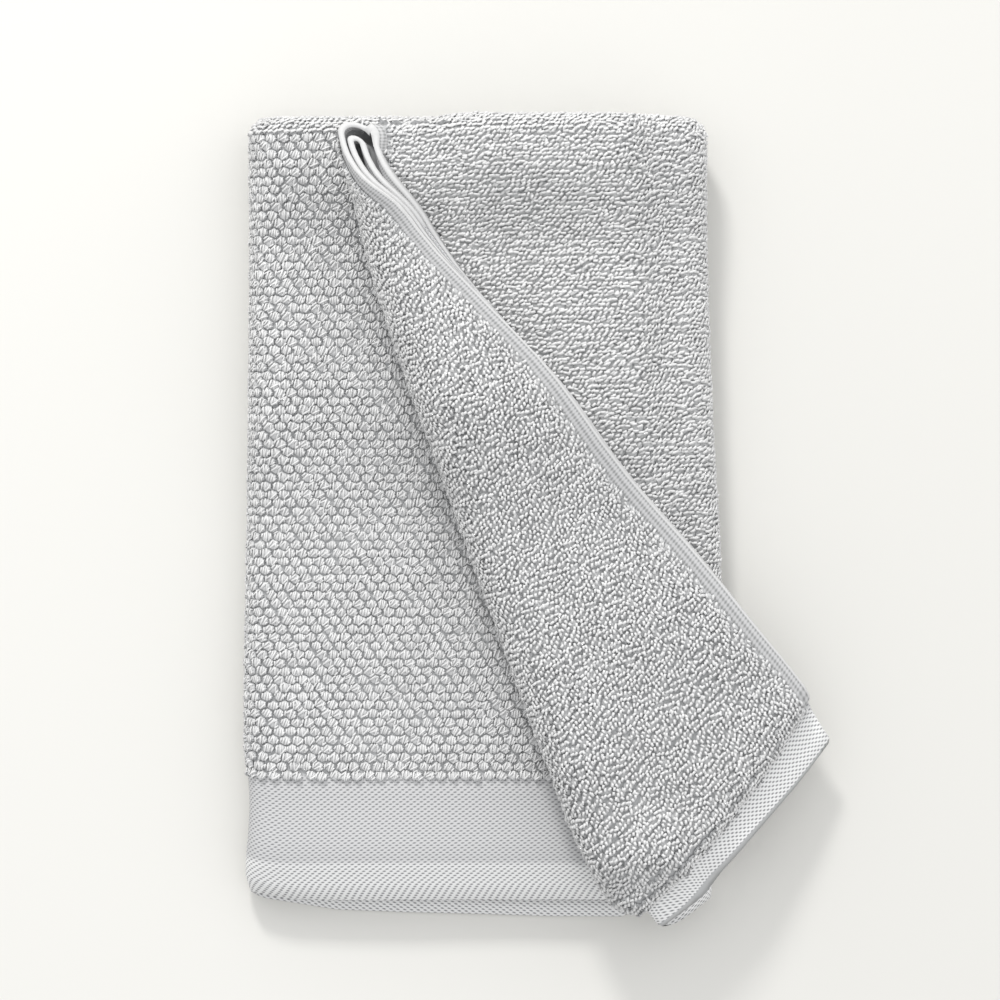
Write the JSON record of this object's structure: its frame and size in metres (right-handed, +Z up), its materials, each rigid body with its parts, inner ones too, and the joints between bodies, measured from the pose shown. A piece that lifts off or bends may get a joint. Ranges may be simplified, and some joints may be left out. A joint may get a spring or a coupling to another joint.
{
  "type": "folded bath towel",
  "caption": "Terry bath towel folded in half and in three, with one corner of the top layers turned back over a slanting crease.",
  "frame": {"origin": "middle of the folded body, on the flat underside that rests on the surface", "axes": "+Z up from the resting face, +Y along the folded towel towards its folded top edge, +X across it towards the turned-back corner"},
  "size_m": [0.3477, 0.4779, 0.0918],
  "materials": {
    "terry_cloth": "matt looped cotton, pale cool grey"
  },
  "bodies": {
    "root": {"towel": "terry_cloth"}
  },
  "joints": []
}
